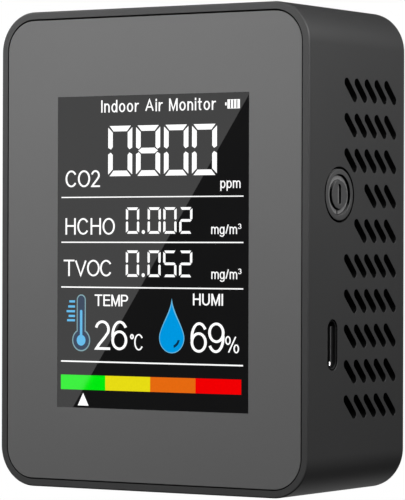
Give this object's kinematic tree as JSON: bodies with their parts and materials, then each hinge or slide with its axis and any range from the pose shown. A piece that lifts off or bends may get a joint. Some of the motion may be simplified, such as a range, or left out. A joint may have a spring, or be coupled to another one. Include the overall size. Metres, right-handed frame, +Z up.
{
  "type": "carbon dioxide monitor",
  "caption": "Upright rounded-box desktop air-quality instrument: flat display front, slotted side vents, side power button and charging port, screwed-on rear cover.",
  "frame": {"origin": "centre of the flat base the instrument stands on", "axes": "+Z up, -Y out of the display, +X to the right of a person facing the display"},
  "size_m": [0.068, 0.034, 0.088],
  "materials": {
    "case_plastic": "fine-textured dark grey ABS",
    "button_plastic": "fine-textured dark grey ABS",
    "panel_acrylic": "semi-gloss tinted acrylic with a clear display window",
    "black_tape": "black foam tape",
    "lcd_glass": "black display cell",
    "white_plastic": "white moulded plastic",
    "steel": "bright plated steel",
    "board_green": "solder-masked glass-epoxy board",
    "chip_black": "black moulding compound",
    "gold_plate": "gold-plated chamber",
    "connector_cream": "cream connector plastic",
    "polyimide": "amber polyimide film",
    "battery_pouch": "laminated aluminium pouch",
    "wire_red": "red wire insulation",
    "wire_black": "black wire insulation",
    "label_paper": "blank satin label",
    "membrane": "white porous gas membrane"
  },
  "bodies": {
    "case": {"main_housing": "case_plastic", "front_panel": "panel_acrylic", "panel_adhesive": "black_tape", "display_gasket": "black_tape", "display_frame": "steel", "lcd_glass": "lcd_glass", "lcd_backlight": "white_plastic", "display_ribbon": "polyimide", "ribbon_connector": "connector_cream", "main_board": "board_green", "board_screw_1": "steel", "board_screw_2": "steel", "board_screw_3": "steel", "board_screw_4": "steel", "usb_c_shell": "steel", "usb_c_tongue": "chip_black", "tact_switch_base": "chip_black", "co2_sensor_board": "board_green", "co2_sensor_header": "chip_black", "co2_sensor_chamber": "gold_plate", "co2_sensor_membrane": "membrane", "voc_sensor_base": "chip_black", "voc_sensor_can": "steel", "temp_humidity_sensor": "chip_black", "microcontroller": "chip_black", "charger_chip": "chip_black", "power_inductor": "chip_black", "crystal_can": "steel", "buzzer": "chip_black", "battery_socket": "connector_cream", "battery_plug": "connector_cream", "battery_lead_red": "wire_red", "battery_lead_black": "wire_black", "battery_cell": "battery_pouch", "battery_pad": "black_tape", "rear_cover": "case_plastic", "rear_label": "label_paper", "rear_screw_1": "steel", "rear_screw_2": "steel", "rear_screw_3": "steel", "rear_screw_4": "steel"},
    "button": {"power_button": "button_plastic"},
    "switch_plunger": {"tact_switch_plunger": "white_plastic"}
  },
  "joints": [
    {"name": "power_button_press", "type": "slide", "parent": "case", "child": "button", "axis": [-1, 0, 0], "range_m": [0, 0.0003]},
    {"name": "switch_plunger_press", "type": "slide", "parent": "case", "child": "switch_plunger", "axis": [-1, 0, 0], "range_m": [0, 0.0003]}
  ],
  "couplings": [
    {"joint": "switch_plunger_press", "follows": "power_button_press", "ratio": 1}
  ]
}
